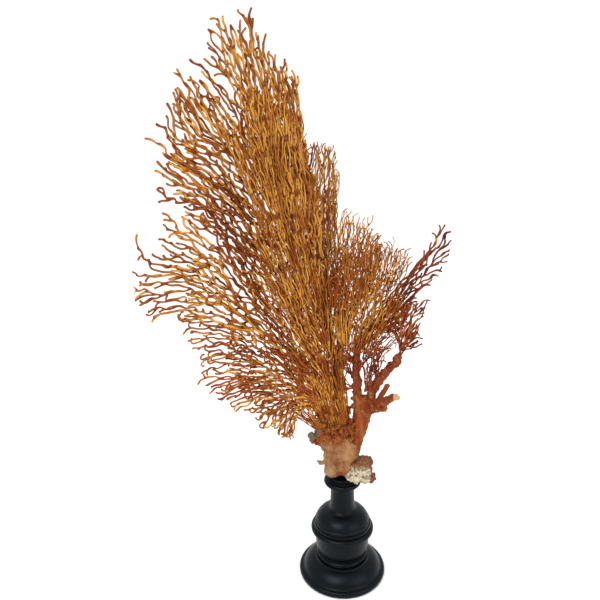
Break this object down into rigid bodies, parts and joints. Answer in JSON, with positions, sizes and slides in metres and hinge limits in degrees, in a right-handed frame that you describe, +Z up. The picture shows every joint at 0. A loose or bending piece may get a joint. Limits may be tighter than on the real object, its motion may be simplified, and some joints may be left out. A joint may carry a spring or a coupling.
{
  "type": "sea fan",
  "caption": "Dried sea fan coral with net-like golden branches, stony base and rock chunk, mounted on a turned black wooden stand",
  "frame": {"origin": "middle of the stand's underside", "axes": "+Z up along the stand's axis, -Y towards the side that the fan faces, the fan leaning to -X"},
  "size_m": [0.3062, 0.2025, 0.6311],
  "materials": {
    "black_wood": "satin black, turned",
    "stony_base": "matt, crusted",
    "rock": "rough, chalky",
    "stem": "matt, horny",
    "golden_fan": "matt, horny",
    "dark_fan": "matt, horny"
  },
  "bodies": {
    "root": {"stand": "black_wood", "holdfast": "stony_base", "substrate_rock": "rock", "left_stem": "stem", "right_stem": "stem", "upright_branch": "stem", "outer_branch": "stem", "cut_stub": "stem", "left_wing_low": "golden_fan", "left_wing": "golden_fan", "left_upper": "golden_fan", "crown": "golden_fan", "center_left": "golden_fan", "center_front": "golden_fan", "center_back": "golden_fan", "center_right": "golden_fan", "right_lean": "golden_fan", "right_fan": "golden_fan", "right_plume": "dark_fan", "low_plume": "dark_fan", "small_plume": "dark_fan"}
  },
  "joints": []
}
